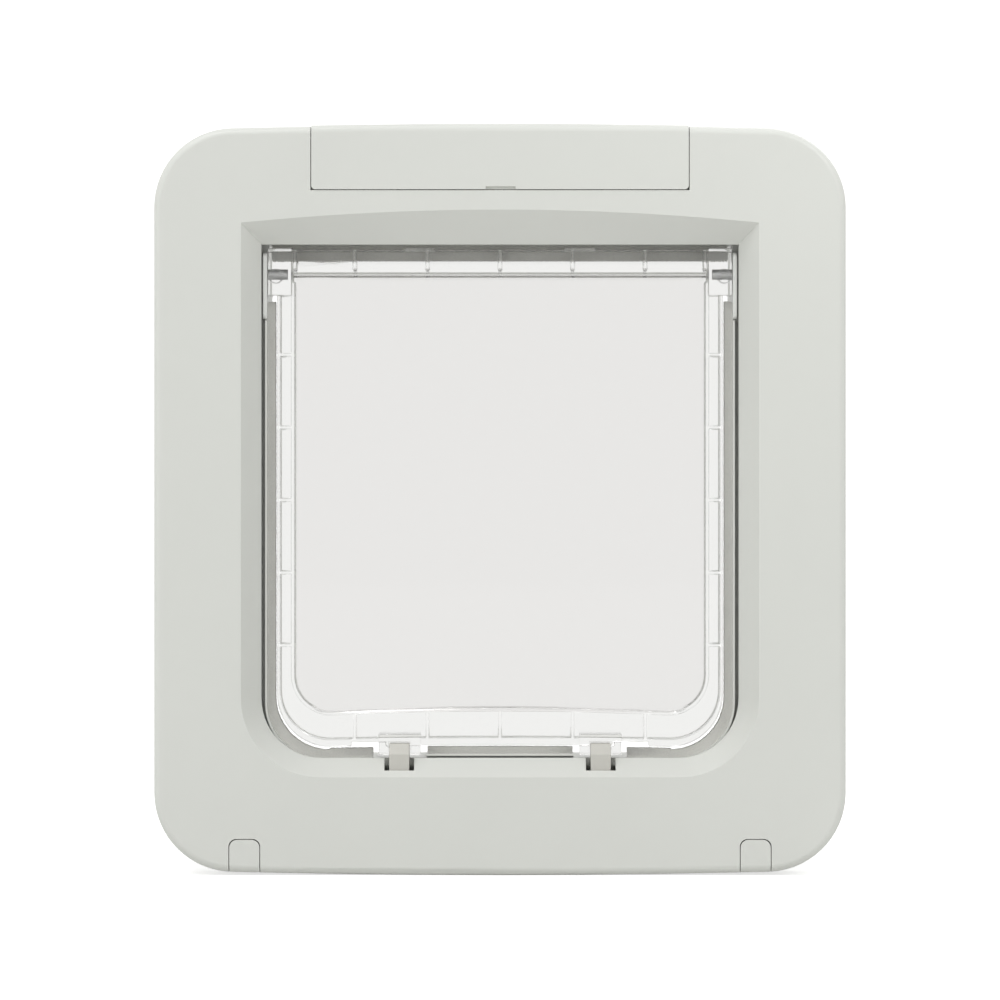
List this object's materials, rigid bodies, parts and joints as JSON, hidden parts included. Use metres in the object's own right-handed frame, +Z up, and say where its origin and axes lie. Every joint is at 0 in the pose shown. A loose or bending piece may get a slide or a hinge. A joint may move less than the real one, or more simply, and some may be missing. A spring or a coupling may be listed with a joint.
{
  "type": "cat flap",
  "caption": "Electronic pet door: moulded frames on both sides of a door leaf, a tunnel, a clear ribbed flap on pivots and motor-driven latches.",
  "frame": {"origin": "centre of the passage on the door leaf's room-side face", "axes": "+X across to the right seen from the room, +Y through the door to outdoors, +Z up"},
  "size_m": [0.262, 0.0833, 0.2846],
  "materials": {
    "shell": "satin moulded off-white",
    "flap_clear": "clear moulded",
    "white_plastic": "moulded white",
    "grey_plastic": "moulded grey",
    "latch_grey": "moulded grey",
    "pinion_nylon": "natural nylon",
    "steel": "zinc plated",
    "brass": "brass insert",
    "copper": "enamelled winding",
    "brush": "grey pile",
    "board": "solder mask",
    "led": "clear lens",
    "battery": "sleeved cell"
  },
  "bodies": {
    "frame": {"antenna_coil": "copper", "battery_1": "battery", "battery_2": "battery", "battery_3": "battery", "battery_4": "battery", "battery_contacts": "steel", "battery_tray": "shell", "brush_seal_bottom": "brush", "brush_seal_left": "brush", "brush_seal_right": "brush", "brush_seal_top": "brush", "button_board": "board", "circuit_board": "board", "coil_cover": "white_plastic", "fixing_screws": "steel", "front_frame": "shell", "gear_motor": "steel", "hinge_bracket_left": "white_plastic", "hinge_bracket_right": "white_plastic", "housing_screws": "steel", "inner_housing": "shell", "latch_guide_left": "white_plastic", "latch_guide_right": "white_plastic", "led_board": "board", "motor_bracket": "grey_plastic", "outer_frame": "shell", "screw_cover_left": "shell", "screw_cover_right": "shell", "status_led": "led", "tact_switch": "grey_plastic", "threaded_inserts": "brass"},
    "flap": {"flap": "flap_clear", "hinge_pin_left": "steel", "hinge_pin_right": "steel"},
    "latches": {"latch_left": "latch_grey", "latch_right": "latch_grey", "latch_bar": "latch_grey"},
    "pinion": {"drive_pinion": "pinion_nylon"},
    "battery_lid": {"battery_cover": "shell"},
    "button": {"learn_button": "grey_plastic"}
  },
  "joints": [
    {"name": "flap_hinge", "type": "hinge", "parent": "frame", "child": "flap", "pos_m": [0, -0.0071, 0.086], "axis": [1, 0, 0], "range_deg": [0, 75]},
    {"name": "latch_slide", "type": "slide", "parent": "frame", "child": "latches", "axis": [0, 0, -1], "range_m": [0, 0.01]},
    {"name": "pinion_spin", "type": "hinge", "parent": "frame", "child": "pinion", "pos_m": [0, -0.0091, -0.121], "axis": [1, 0, 0], "range_deg": [0, 120]},
    {"name": "cover_slide", "type": "slide", "parent": "frame", "child": "battery_lid", "axis": [0, 0, 1], "range_m": [0, 0.035]},
    {"name": "button_press", "type": "slide", "parent": "frame", "child": "button", "axis": [0, 1, 0], "range_m": [0, 0.0012], "stiffness_N_per_m": 400}
  ],
  "couplings": [
    {"joint": "pinion_spin", "follows": "latch_slide", "rad_per_m": 208.33}
  ]
}
